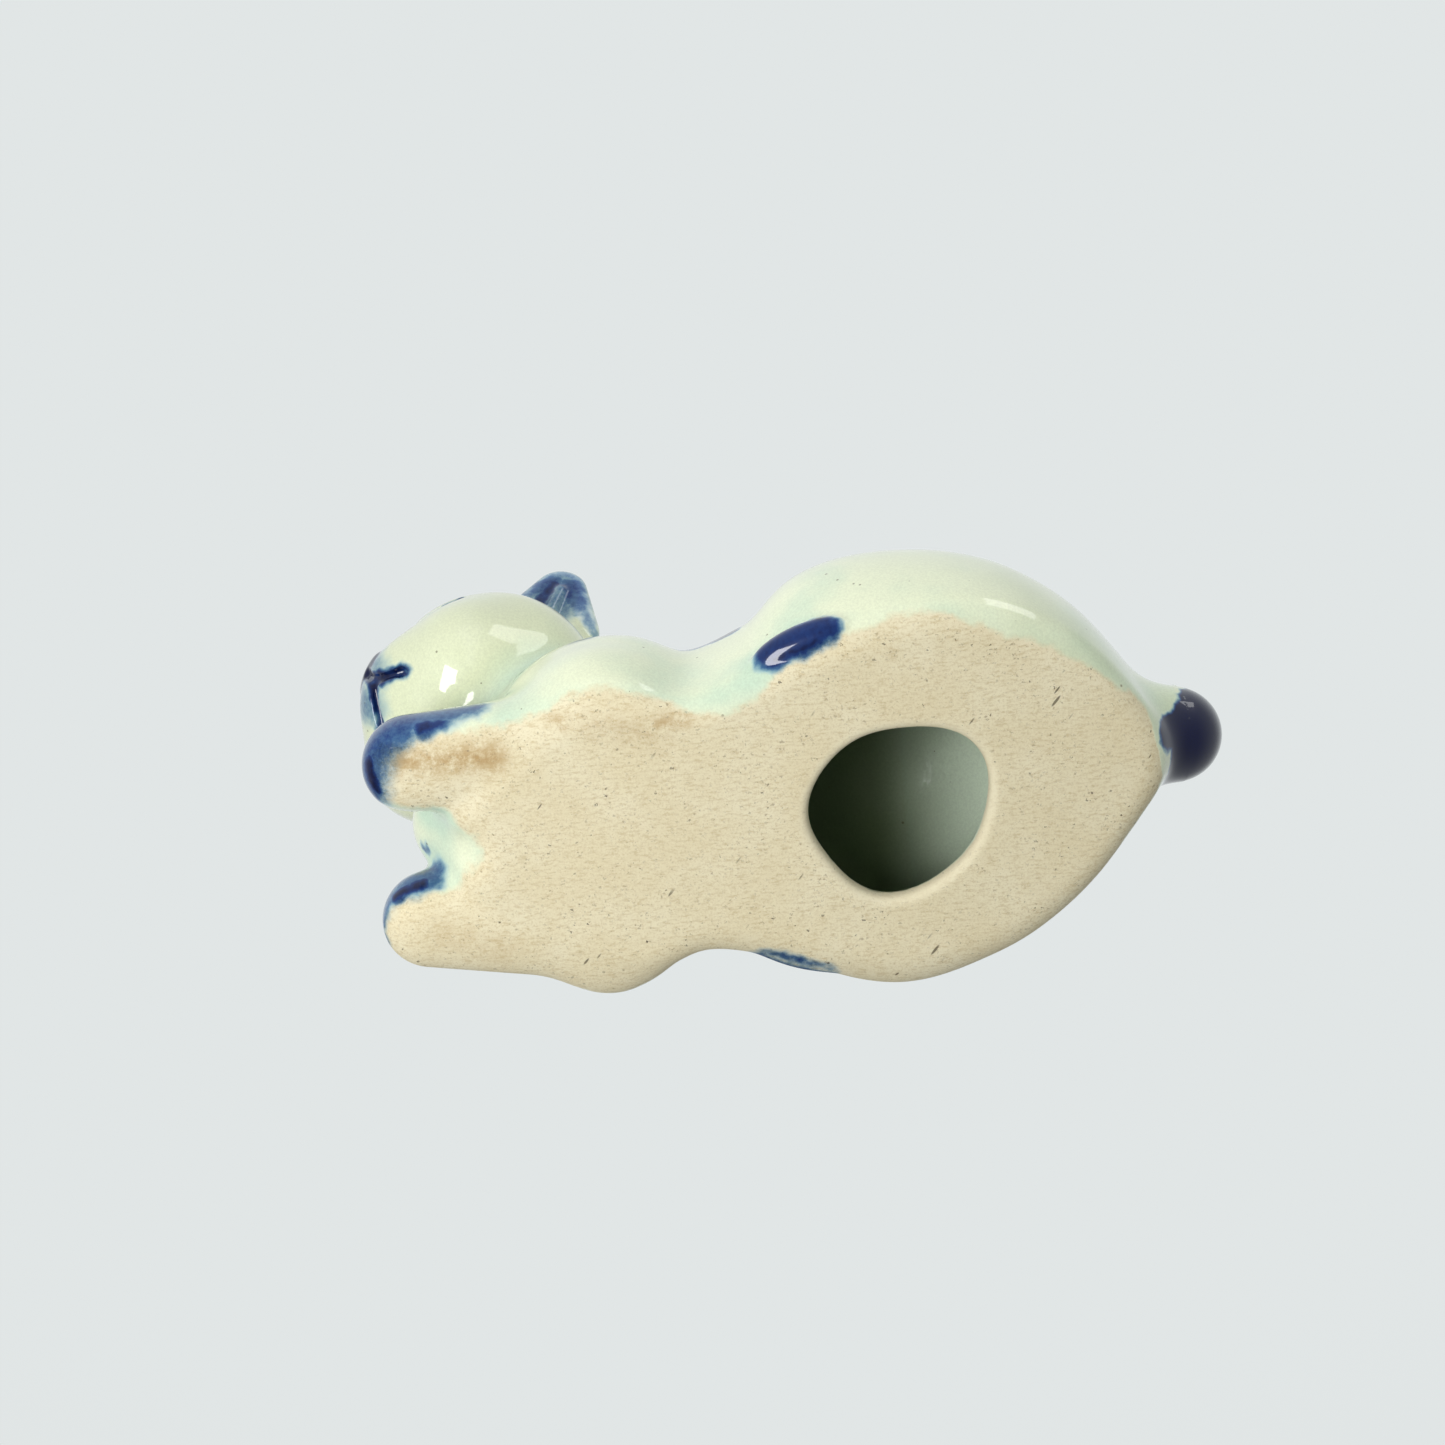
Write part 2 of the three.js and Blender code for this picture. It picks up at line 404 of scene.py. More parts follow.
@dataclass
class Head:
    """The head: skull, cheeks, blunt muzzle and the lids of the closed eyes."""

    block: Block
    turn: float = 28.0
    tilt: float = 3.0
    skull: Point = (18.3, 16.2, 15.3)
    cheek: Point = (8.2, 7.6, 7.4)
    muzzle: Point = (7.6, 5.6, 5.5)
    nose: Point = (3.2, 1.0, 1.7)
    lid: Point = (4.6, 1.7, 2.4)
    eye: tuple[tuple[float, float], ...] = ((8.6, -1.8), (10.6, -2.0), (12.5, -0.8), (14.1, 1.8))
    mouth: tuple[tuple[tuple[float, float], tuple[float, float]], ...] = (
        ((1.1, -5.4), (1.8, -8.4)),
        ((1.8, -8.4), (-3.0, -10.4)),
        ((1.8, -8.4), (5.2, -9.8)),
        ((5.2, -9.8), (8.6, -11.2)),
    )

    def __post_init__(self) -> None:
        """Sets the head's middle and its pose."""
        self.middle = self.block.at(0.483, 0.502, 0.49)
        self.pose = turn_about("Z", self.turn) @ turn_about("Y", self.tilt)

    def place(self, x: float, y: float, z: float) -> np.ndarray:
        """A point of the head's own frame, in the part's frame."""
        return self.middle + self.pose @ np.array([x, y, z])

    def form(self, p: np.ndarray) -> np.ndarray:
        """The head's distance."""
        d = egg(p, self.middle, self.skull, self.pose)
        for side in Side:
            cheek = self.place(side.value * 7.8, -6.4, -6.0)
            d = join(d, egg(p, cheek, self.cheek, self.pose), 4.5)
            lid_pose = self.pose @ turn_about("Z", side.value * 44.0)
            lid = self.place(side.value * 10.9, -10.2, 1.6)
            d = join(d, egg(p, lid, self.lid, lid_pose), 1.6)
        d = join(d, egg(p, self.place(0.6, -12.6, -5.2), self.muzzle, self.pose), 3.6)
        d = join(d, egg(p, self.place(0.4, -17.5, -3.4), self.nose, self.pose), 1.2)
        for line in self.lines():
            d = carve(d, limb(p, *line, 0.5, 0.4), 0.9)
        return d

    def strokes(self) -> list[Stroke]:
        """The nose, the dark of the engraved lines and the washes round the muzzle."""
        drawn = self.lines()
        eyes = len(drawn) - len(self.mouth)
        touches = [Stroke.along(*line, (0.6, 0.5), 0.5, 1.1) for line in drawn[:eyes]]
        widths = ((0.9, 0.8), (0.9, 0.5), (0.9, 0.8), (0.8, 0.2))
        touches += [Stroke.along(*line, width, 1.0, 1.0) for line, width in zip(drawn[eyes:], widths)]
        nose = self.on_face(-1.6, -3.6), self.on_face(2.4, -3.8)
        touches.append(Stroke.along(*nose, (1.9, 1.9), 1.0, 1.0))
        washes = (
            ((-2.6, -5.4), (-1.4, -9.6), (2.4, 1.8), 2.4, 0.36),
            ((3.2, -5.2), (3.2, -9.0), (1.4, 1.0), 2.2, 0.32),
        )
        for start, end, width, soft, load in washes:
            touches.append(Stroke.along(self.on_face(*start), self.on_face(*end), width, soft, load))
        return touches

    def lines(self) -> list[tuple[np.ndarray, np.ndarray]]:
        """The engraved lines: the closed eyes, then the mouth's right and left."""
        drawn = []
        for side in Side:
            path = [self.on_face(side.value * x, z) for x, z in self.eye]
            drawn += list(pairwise(path))
        drawn += [(self.on_face(*start), self.on_face(*end)) for start, end in self.mouth]
        return drawn

    def on_face(self, x: float, z: float) -> np.ndarray:
        """The point of the bare face straight in front of a place in the head.

        Args:
            x: How far to the head's left.
            z: How far above its middle.

        Returns:
            The point, in the part's frame.
        """
        low, high = np.array([0.0]), np.array([-24.0])
        for _ in range(24):
            middle = (low + high) / 2.0
            inside = self.bare_face(self.place(x, middle[0], z)[None]) < 0.0
            low, high = np.where(inside, middle, low), np.where(inside, high, middle)
        return self.place(x, low[0], z)

    def bare_face(self, p: np.ndarray) -> np.ndarray:
        """The distance to the skull and the muzzle alone."""
        d = egg(p, self.middle, self.skull, self.pose)
        return join(d, egg(p, self.place(0.6, -12.6, -5.2), self.muzzle, self.pose), 3.6)


@dataclass
class Ear:
    """A pricked ear: a rounded triangle, hollowed in front, with a low ridge down the hollow."""

    head: Head
    side: Side
    root: Point = (11.8, 3.4, 8.6)
    tip: Point = (16.0, 3.4, 16.6)
    half_width: float = 7.8
    tip_radius: float = 3.9
    thickness: float = 5.2
    turn: float = 20.0

    def __post_init__(self) -> None:
        """Settles the ear's frame: its foot, its height and its three axes."""
        root = self.head.place(self.side.value * self.root[0], self.root[1], self.root[2])
        tip = self.head.place(self.side.value * self.tip[0], self.tip[1], self.tip[2])
        up = tip - root
        self.height = float(np.linalg.norm(up))
        up = up / self.height
        angle = math.radians(self.turn)
        across = self.head.pose @ np.array([self.side.value * math.sin(angle), math.cos(angle), 0.0])
        out = np.cross(across, up) * self.side.value
        out /= np.linalg.norm(out)
        across = np.cross(up, out) * self.side.value
        self.foot, self.axes = root, np.stack([across, out, up], axis=1)

    def local(self, p: np.ndarray) -> np.ndarray:
        """Points in the ear's frame: across its width, through it, and up to the tip."""
        return (p - self.foot) @ self.axes

    def form(self, p: np.ndarray) -> np.ndarray:
        """The ear's distance."""
        q = self.local(p)
        squash = 2.0 * self.half_width / self.thickness
        fat = q * np.array([1.0, squash, 1.0])
        d = limb(fat, (0, 0, 0), (0, 0, self.height), self.half_width, self.tip_radius) / math.sqrt(squash)
        dish = egg(q, (0.0, 4.1, 4.4), (4.7, 3.3, 8.4), np.eye(3))
        ridge = limb(q, (-0.6, 1.0, 0.0), (0.2, 1.2, self.height - 1.0), 1.1, 0.6)
        return join(carve(d, dish, 1.4), ridge, 1.2)

    def strokes(self) -> list[Stroke]:
        """The blue of the ear: its two rims, the line down the hollow and a wash over the tip."""
        tip = self.height
        touches = (
            ((-6.6, 0.0, 3.0), (-1.4, 0.0, tip), (0.8, 2.0), 1.5, 0.62),
            ((6.2, 0.0, 1.0), (1.4, 0.0, tip), (0.9, 2.0), 1.5, 0.66),
            ((-2.6, 1.4, 3.4), (-1.0, 1.6, tip), (0.7, 0.7), 0.9, 0.9),
            ((0.0, 0.0, tip), (0.0, 0.0, tip * 0.62), (3.4, 3.4), 3.0, 0.40),
        )
        return [Stroke.along(self.world(a), self.world(b), w, soft, load) for a, b, w, soft, load in touches]

    def world(self, q: Point) -> np.ndarray:
        """A point of the ear's frame, in the part's frame."""
        return self.foot + self.axes @ np.array(q)


@dataclass
class HindFoot:
    """A hind foot that shows as an almond-shaped ridge low on the flank."""

    block: Block
    side: Side
    flank: Form
    radii: Point = (2.2, 6.9, 2.6)

    def __post_init__(self) -> None:
        """Seats the ridge on the flank, in line with it."""
        forward, sunk = self.side.pick(0.52, 0.14), self.side.pick(0.5, 1.3)
        start = self.block.at(0.5 - self.side.value * 0.1, forward, -0.25)
        seat, out = settle(self.flank, start[None], 12, 1.0)
        away = out[0]
        run = np.array([0.0, 1.0, 0.1])
        run -= away * (run @ away)
        run /= np.linalg.norm(run)
        self.pose = np.stack([away, run, np.cross(away, run)], axis=1)
        self.middle = seat[0] - away * sunk

    def form(self, p: np.ndarray) -> np.ndarray:
        """The foot's distance."""
        return egg(p, self.middle, self.radii, self.pose)

    def strokes(self) -> list[Stroke]:
        """The blue over the whole ridge, paler down its middle."""
        run = self.pose[:, 1] * (self.radii[1] - 3.4)
        crest, over = self.pose[:, 0] * 1.0, self.pose[:, 2] * 1.5
        back, front = self.middle + crest - run, self.middle + crest + run
        return [
            Stroke.along(back, front, (2.4, 2.0), 1.1, 0.78),
            Stroke.along(back + over, front + over, (0.8, 0.6), 1.0, 0.95),
            Stroke.along(back - over, front - over, (0.6, 0.5), 0.9, 0.9),
        ]


@dataclass
class Tail:
    """The stub of the tail."""

    block: Block
    root_radius: float = 7.4
    tip_radius: float = 6.4

    def form(self, p: np.ndarray) -> np.ndarray:
        """The tail's distance."""
        tip = np.array([2.9, self.block.high[1] - self.tip_radius, 11.2])
        root = np.array([4.2, self.block.low[1] - 5.0, 9.6])
        return limb(p, root, tip, self.root_radius, self.tip_radius)

    def strokes(self) -> list[Stroke]:
        """The dark knob."""
        end = np.array([1.5, self.block.high[1] - 0.5, 8.0])
        lobe = np.array([6.4, self.block.low[1] + 2.4, 3.0])
        return [
            Stroke.along(end, end + np.array([0.8, 2.0, 4.0]), (9.3, 8.6), 0.8, 1.6),
            Stroke.along(lobe, lobe + np.array([0.0, 3.0, 1.0]), (2.0, 3.6), 0.9, 1.5),
        ]


@dataclass
class CastingHole:
    """The hole cut by hand through the underside, with its wavering rim."""

    middle: tuple[float, float]
    radius: float = 11.65
    waver: tuple[tuple[int, float, float], ...] = (
        (1, 0.5, 95.0),
        (2, 0.5, 88.0),
        (3, 0.5, 170.0),
        (5, 0.2, -107.0),
    )

    def form(self, p: np.ndarray) -> np.ndarray:
        """The distance to the drilled way."""
        dx, dy = p[:, 0] - self.middle[0], p[:, 1] - self.middle[1]
        angle = np.arctan2(dy, dx)
        rim = self.radius + sum(a * np.cos(n * angle - math.radians(f)) for n, a, f in self.waver)
        return np.hypot(dx, dy) - rim


@dataclass
class GlazeLine:
    """The line on the underside that the glaze was wiped back to."""

    left: tuple[tuple[float, float], ...] = (
        (-58.0, 12.6),
        (-47.5, 13.4),
        (-40.5, 16.3),
        (-34.5, 16.2),
        (-24.0, 18.2),
        (-16.5, 17.0),
        (-10.0, 14.2),
        (-4.6, 15.2),
        (0.4, 19.6),
        (8.5, 23.4),
        (19.5, 25.4),
        (27.5, 22.6),
        (35.0, 19.6),
        (42.0, 14.6),
        (47.0, 8.4),
        (49.4, -3.0),
    )
    height: tuple[float, float] = (1.7, 3.4)

    def mark(self, p: np.ndarray) -> np.ndarray:
        """How far each point is past the line, negative on the bare clay.

        Args:
            p: Points, one a row.

        Returns:
            Millimetres past the line.
        """
        ys, xs = np.array(self.left).T
        past = (p[:, 0] - smooth_curve(p[:, 1], ys, xs)) * 0.8
        right = np.clip((-p[:, 0] - 6.0) / 12.0, 0.0, 1.0)
        over = p[:, 2] - (self.height[0] + (self.height[1] - self.height[0]) * right)
        return np.maximum(past, over)


class Dog:
    """The whole animal as one form, and the forms that its seams lie between."""

    wall = 3.1
    sole_soft = 3.4

    def __init__(self) -> None:
        """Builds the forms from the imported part's boxes."""
        shell = Block.of("body_shell")
        self.trunk = Trunk(shell)
        self.head = Head(Block.of("head"))
        self.forelegs = {s: Foreleg(Block.of(f"{s.word}_foreleg"), s) for s in Side}
        self.feet = {s: HindFoot(Block.of(f"{s.word}_hind_foot"), s, self.stance) for s in Side}
        self.ears = {s: Ear(self.head, s) for s in Side}
        self.tail = Tail(Block.of("tail"))
        opening = next(o for o in frame["record"]["physics"]["openings"] if o["name"] == "casting_hole")
        low, high = np.array(opening["box_m"]) * MM
        self.hole = CastingHole(tuple((low + high)[:2] / 2.0))
        self.glaze_line = GlazeLine()

    def stance(self, p: np.ndarray) -> np.ndarray:
        """The trunk where it stands on its flat sole."""
        return meet(self.trunk.form(p), -p[:, 2], self.sole_soft)

    def web(self, p: np.ndarray) -> np.ndarray:
        """The hollow pressed up between the forepaws."""
        return egg(p, (-2.6, -52.6, -2.0), (6.0, 12.4, 7.4), np.eye(3))

    def outside(self, p: np.ndarray) -> np.ndarray:
        """The outer form without the casting's hollow."""
        d = self.trunk.form(p)
        neck = egg(p, (1.6, -33.0, 25.0), (12.0, 12.0, 13.0), np.eye(3))
        d = join(d, neck, 5.0)
        for leg in self.forelegs.values():
            d = join(join(d, leg.bulge(p), 3.0), leg.form(p), 2.6)
        d = carve(d, self.web(p), 2.6)
        skull = self.head.form(p)
        for ear in self.ears.values():
            skull = join(skull, ear.form(p), 1.4)
        d = join(d, skull, 3.0)
        for foot in self.feet.values():
            d = join(d, foot.form(p), 0.8)
        d = join(d, self.tail.form(p), 2.6)
        return meet(d, -p[:, 2], self.sole_soft)

    def hollow(self, p: np.ndarray) -> np.ndarray:
        """The drained hollow, with the casting hole."""
        d = self.trunk.form(p) + self.wall
        d = meet(d, self.wall - p[:, 2], 3.0)
        luted = np.minimum(self.head.form(p), self.tail.form(p))
        for leg in self.forelegs.values():
            luted = np.minimum(luted, leg.form(p))
        d = carve(d, np.minimum(luted - 1.5, self.web(p) - self.wall), 2.0)
        drilled = meet(self.hole.form(p), p[:, 2] - 2.0 * self.wall, 0.4)
        return join(d, drilled, 1.2)

    def form(self, p: np.ndarray) -> np.ndarray:
        """The fired clay: the outer form less the hollow."""
        return carve(self.outside(p), self.hollow(p), 1.5)

    def marks(self, p: np.ndarray, normals: np.ndarray) -> dict[str, np.ndarray]:
        """What the finishes need to know at points of the skin.

        Args:
            p: Points, one a row.
            normals: The unit normals there.

        Returns:
            By name: pool, how hollow the place is; bare, millimetres past the glaze line; warm, 1 on the
            head; rim, millimetres from the casting hole's edge; inside, 1 on the hollow's wall.
        """
        lift = 3.0
        pool = 1.0 - np.concatenate(
            [self.outside(q + n * lift) for q, n in zip(batches(p), batches(normals))]
        ) / lift
        rim = self.hole.form(p)
        bare = np.maximum(self.glaze_line.mark(p), 0.7 - self.web(p))
        cavity = np.concatenate([self.hollow(q) for q in batches(p)])
        bare = np.maximum(bare, np.minimum(1.5 - cavity, p[:, 2] - 2.2))
        warm = np.clip(0.5 - self.head.form(p) / 3.0, 0.0, 1.0)
        inside = np.clip(1.6 - cavity, 0.0, 1.0)
        return {"pool": pool, "bare": bare, "warm": warm, "rim": rim, "inside": inside}

    def seams(self) -> dict[str, Form]:
        """The form that owns each luted part, by the part's name."""
        owners: dict[str, Form] = {"head": self.head.form, "tail": self.tail.form}
        for side in Side:
            owners[f"{side.word}_ear"] = self.ears[side].form
            owners[f"{side.word}_foreleg"] = self.forelegs[side].form
            owners[f"{side.word}_hind_foot"] = self.feet[side].form
        return owners


# ---- From form to skin ---------------------------------------------------------------------------

# How many points are sampled at once.
BATCH = 60000
# The spacing of the mesh, in millimetres.
STEP = 0.6
# The marks that the finishes read, and their value at the middle of a closed seam.
SHADED = ("pool", "bare", "warm", "rim", "inside")
SEAM_MARK = 9.0


def batches(rows: np.ndarray) -> list[np.ndarray]:
    """Rows in lots small enough to work on at once."""
    return np.array_split(rows, len(rows) // BATCH + 1)


def lattice(form: Form, low: np.ndarray, high: np.ndarray, step: float) -> np.ndarray:
    """Samples a form closely near its surface and coarsely elsewhere.

    Args:
        form: The form.
        low: The lowest corner.
        high: The highest corner.
        step: The spacing.

    Returns:
        The values, one for each point of the lattice.
    """
    stride = 4
    count = np.ceil((high - low) / step).astype(int) + 1
    rough_count = count // stride + 2
    ticks = [low[k] + step * stride * np.arange(rough_count[k]) for k in range(3)]
    corners = np.stack(np.meshgrid(*ticks, indexing="ij"), axis=-1).reshape(-1, 3)
    rough = form(corners).reshape(rough_count)
    nearest = [np.rint(np.arange(n) / stride).astype(int) for n in count]
    spread = rough[np.ix_(*nearest)]
    values = spread.astype(np.float32)
    close = np.argwhere(np.abs(spread) < step * stride * 1.3)
    for some in batches(close):
        values[tuple(some.T)] = form(low + some * step)
    return values


@dataclass
class Skin:
    """The fired surface as triangles, with what is known at each of its points."""

    points: np.ndarray
    normals: np.ndarray
    marks: dict[str, np.ndarray]
    rest: np.ndarray

    @classmethod
    def of(cls, form: Form, low: np.ndarray, high: np.ndarray, step: float) -> "Skin":
        """Meshes a form and settles each point on it.

        Args:
            form: The form.
            low: The lowest corner of the space to mesh.
            high: The highest corner.
            step: The spacing of the mesh.

        Returns:
            The skin, with no marks yet.
        """
        grid = openvdb.FloatGrid(4.0 * step)
        grid.copyFromArray(lattice(form, low, high, step))
        points, quads = grid.convertToQuads()
        points = low + points.astype(float) * step
        points, normals = settle(form, points, 3, step)
        first = np.linalg.norm(points[quads[:, 0]] - points[quads[:, 2]], axis=1)
        second = np.linalg.norm(points[quads[:, 1]] - points[quads[:, 3]], axis=1)
        near = first <= second
        halves = [quads[near][:, (0, 1, 2)], quads[near][:, (0, 2, 3)]]
        halves += [quads[~near][:, (1, 2, 3)], quads[~near][:, (1, 3, 0)]]
        corners = np.concatenate(halves).astype(np.int64)
        across = np.cross(
            points[corners[:, 1]] - points[corners[:, 0]], points[corners[:, 2]] - points[corners[:, 0]]
        )
        if np.sum(across * normals[corners[:, 0]]) < 0.0:
            corners = corners[:, ::-1]
        return cls(points, normals, {}, corners)

    def part(self, value: np.ndarray) -> np.ndarray:
        """Takes from the rest what lies where a value is negative, cutting the triangles it crosses.

        Args:
            value: One number for each point.

        Returns:
            The triangles taken.
        """
        value = np.where(np.abs(value) < 0.02, 0.02, value)
        inside = value[self.rest] < 0.0
        number = inside.sum(axis=1)
        crossed = (number == 1) | (number == 2)
        faces, lone_in = self.rest[crossed], number[crossed] == 1
        lone = np.argmax(inside[crossed] == lone_in[:, None], axis=1)
        rows = np.arange(len(faces))
        a, b, c = (faces[rows, (lone + k) % 3] for k in range(3))
        edges = np.sort(np.concatenate([np.stack([a, b], 1), np.stack([a, c], 1)]), axis=1)
        unique, back = np.unique(edges, axis=0, return_inverse=True)
        back = back.reshape(-1)
        start, end = unique[:, 0], unique[:, 1]
        share = (value[start] / (value[start] - value[end]))[:, None]
        count = len(self.points)
        crossings = self.points[start] * (1 - share) + self.points[end] * share
        self.points = np.concatenate([self.points, crossings])
        bent = self.normals[start] * (1 - share) + self.normals[end] * share
        bent /= np.linalg.norm(bent, axis=1, keepdims=True)
        self.normals = np.concatenate([self.normals, bent])
        for name, mark in self.marks.items():
            mixed = mark[start] * (1 - share[:, 0]) + mark[end] * share[:, 0]
            self.marks[name] = np.concatenate([mark, mixed])
        ab, ac = count + back[: len(faces)], count + back[len(faces) :]
        tip = np.stack([a, ab, ac], 1)
        stump = np.stack([np.stack([ab, b, c], 1), np.stack([ab, c, ac], 1)])
        taken = [self.rest[number == 3], tip[lone_in], stump[0][~lone_in], stump[1][~lone_in]]
        left = [self.rest[number == 0], tip[~lone_in], stump[0][lone_in], stump[1][lone_in]]
        self.rest = np.concatenate(left)
        return np.concatenate(taken)


def settle(form: Form, points: np.ndarray, rounds: int, reach: float) -> tuple[np.ndarray, np.ndarray]:
    """Moves points on to the surface of a form.

    Args:
        form: The form.
        points: Points near it.
        rounds: How many steps.
        reach: The longest step.

    Returns:
        The points and the unit normals there.
    """
    settled, normals = [], []
    for some in batches(points):
        for _ in range(rounds):
            rise = slope(form, some)
            steep = np.maximum(np.sum(rise * rise, axis=1), 0.05)
            move = -(form(some) / steep)[:, None] * rise
            length = np.maximum(np.linalg.norm(move, axis=1, keepdims=True), 1e-9)
            some = some + move * np.minimum(1.0, reach / length)
        rise = slope(form, some)
        settled.append(some)
        normals.append(rise / np.maximum(np.linalg.norm(rise, axis=1, keepdims=True), 1e-9))
    return np.concatenate(settled), np.concatenate(normals)


def rims(faces: np.ndarray) -> list[np.ndarray]:
    """The open edges of some triangles, as closed loops of points.

    Args:
        faces: Triangles.

    Returns:
        Each loop, in the triangles' own direction.
    """
    edges = np.concatenate([faces[:, (0, 1)], faces[:, (1, 2)], faces[:, (2, 0)]])
    top = int(edges.max()) + 1
    keys, twins = edges[:, 0] * top + edges[:, 1], edges[:, 1] * top + edges[:, 0]
    lone = edges[~np.isin(keys, twins)]
    onward = dict(zip(lone[:, 0].tolist(), lone[:, 1].tolist()))
    loops = []
    while onward:
        at, after = onward.popitem()
        loop = [at]
        while after in onward:
            loop.append(after)
            after = onward.pop(after)
        loops.append(np.array(loop))
    return loops


@dataclass
class Piece:
    """One named piece of the animal, cut from the skin and closed at its seams."""

    name: str
    skin: Skin
    faces: np.ndarray

    def refine(self, dog: Dog) -> None:
        """Quarters the piece's triangles and settles the new points, but for those on its seams.

        Args:
            dog: The animal whose form they settle on.
        """
        used, corners = np.unique(self.faces, return_inverse=True)
        corners = corners.reshape(-1, 3)
        edges = np.sort(np.concatenate([corners[:, (0, 1)], corners[:, (1, 2)], corners[:, (2, 0)]]), axis=1)
        unique, back, number = np.unique(edges, axis=0, return_inverse=True, return_counts=True)
        ab, bc, ca = (len(used) + back.reshape(3, -1)[k] for k in range(3))
        a, b, c = corners.T
        quarters = [(a, ab, ca), (ab, b, bc), (ca, bc, c), (ab, bc, ca)]
        self.faces = np.concatenate([np.stack(q, axis=1) for q in quarters])
        points = self.skin.points[used]
        middles = points[unique].mean(axis=1)
        free = number > 1
        middles[free] = settle(dog.form, middles[free], 2, STEP / 2.0)[0]
        points = np.concatenate([points, middles])
        bent = self.skin.normals[used][unique].mean(axis=1)
        bent[free] = settle(dog.form, middles[free], 0, 0.0)[1]
        normals = np.concatenate([self.skin.normals[used], bent])
        normals /= np.linalg.norm(normals, axis=1, keepdims=True)
        marks = {}
        for name, mark in self.skin.marks.items():
            marks[name] = np.concatenate([mark[used], mark[used][unique].mean(axis=1)])
        self.skin = Skin(points, normals, marks, self.faces)

    def make(self) -> bpy.types.Object:
        """Builds the piece's mesh, closes its seams and stands it for its node.

        Returns:
            The object, riding on the body.
        """
        used, corners = np.unique(self.faces, return_inverse=True)
        corners = corners.reshape(-1, 3)
        points, normals = self.skin.points[used], self.skin.normals[used]
        corner_normals = [normals[corners].reshape(-1, 3)]
        faces, caps = [corners], []
        for loop in rims(corners):
            if len(loop) < 3:
                continue
            hub = len(points) + len(caps)
            centre = points[loop].mean(axis=0)
            fan = np.stack([np.roll(loop, -1), loop, np.full(len(loop), hub)], axis=1)
            flat = np.cross(points[fan[:, 1]] - points[fan[:, 0]], centre - points[fan[:, 0]])
            flat /= np.maximum(np.linalg.norm(flat, axis=1, keepdims=True), 1e-9)
            faces.append(fan)
            caps.append(centre)
            corner_normals.append(np.repeat(flat, 3, axis=0))
        marks = {name: mark[used] for name, mark in self.skin.marks.items() if name in SHADED}
        if caps:
            points = np.concatenate([points, np.array(caps)])
            marks = {n: np.concatenate([m, np.full(len(caps), SEAM_MARK)]) for n, m in marks.items()}
        shape = np.concatenate(faces), np.concatenate(corner_normals)
        piece = mesh_object(f"fired_{self.name}", points, *shape, marks)
        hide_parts(self.name)
        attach(piece, BODY)
        LOG.info("%s: %d faces, %d seams", self.name, len(piece.data.polygons), len(caps))
        return piece


def mesh_object(
    name: str, points: np.ndarray, faces: np.ndarray, normals: np.ndarray, marks: dict[str, np.ndarray]
) -> bpy.types.Object:
    """A triangle mesh with its own normals and marks, in the scene.

    Args:
        name: The object's name.
        points: Points in millimetres.
        faces: Triangles.
        normals: A normal for each corner of each triangle.
        marks: A number for each point, by the attribute's name.

    Returns:
        The object.
    """
    mesh = bpy.data.meshes.new(name)
    mesh.vertices.add(len(points))
    mesh.vertices.foreach_set("co", (points / MM).astype(np.float32).ravel())
    mesh.loops.add(faces.size)
    mesh.loops.foreach_set("vertex_index", faces.astype(np.int32).ravel())
    mesh.polygons.add(len(faces))
    mesh.polygons.foreach_set("loop_start", np.arange(0, faces.size, 3, dtype=np.int32))
    mesh.polygons.foreach_set("use_smooth", np.ones(len(faces), bool))
    mesh.update(calc_edges=True)
    for mark, values in marks.items():
        layer = mesh.attributes.new(mark, "FLOAT", "POINT")
        layer.data.foreach_set("value", values.astype(np.float32))
    mesh.normals_split_custom_set(normals.astype(np.float32))
    made = bpy.data.objects.new(name, mesh)
    bpy.context.scene.collection.objects.link(made)
    return made


def cut_pieces(dog: Dog) -> list[Piece]:
    """Meshes the animal and cuts it at the luted seams.

    Args:
        dog: The animal.

    Returns:
        The pieces, the trunk last.
    """
    low, high = (np.array(corner) * MM for corner in CAD_BOX)
    skin = Skin.of(dog.form, low - 2.0, high + 2.0, STEP)
    own = {name: form(skin.points) for name, form in dog.seams().items()}
    within = dog.outside(skin.points) < -0.6
    own["body_shell"] = np.where(within, -99.0, dog.trunk.form(skin.points))
    skin.marks.update(own)
    skin.marks.update(dog.marks(skin.points, skin.normals))
    pieces = []
    names = list(own)
    for place, name in enumerate(names[:-1]):
        others = np.min([skin.marks[other] for other in names[place + 1 :]], axis=0)
        pieces.append(Piece(name, skin, skin.part(skin.marks[name] - others)))
    pieces.append(Piece("body_shell", skin, skin.rest))
    for piece in pieces[:-1]:
        piece.refine(dog)
    return pieces


# ---- Finishes ------------------------------------------------------------------------------------

Colour = tuple[float, float, float]
Socket = bpy.types.NodeSocket
ORIGIN: Point = (0.0, 0.0, 0.0)


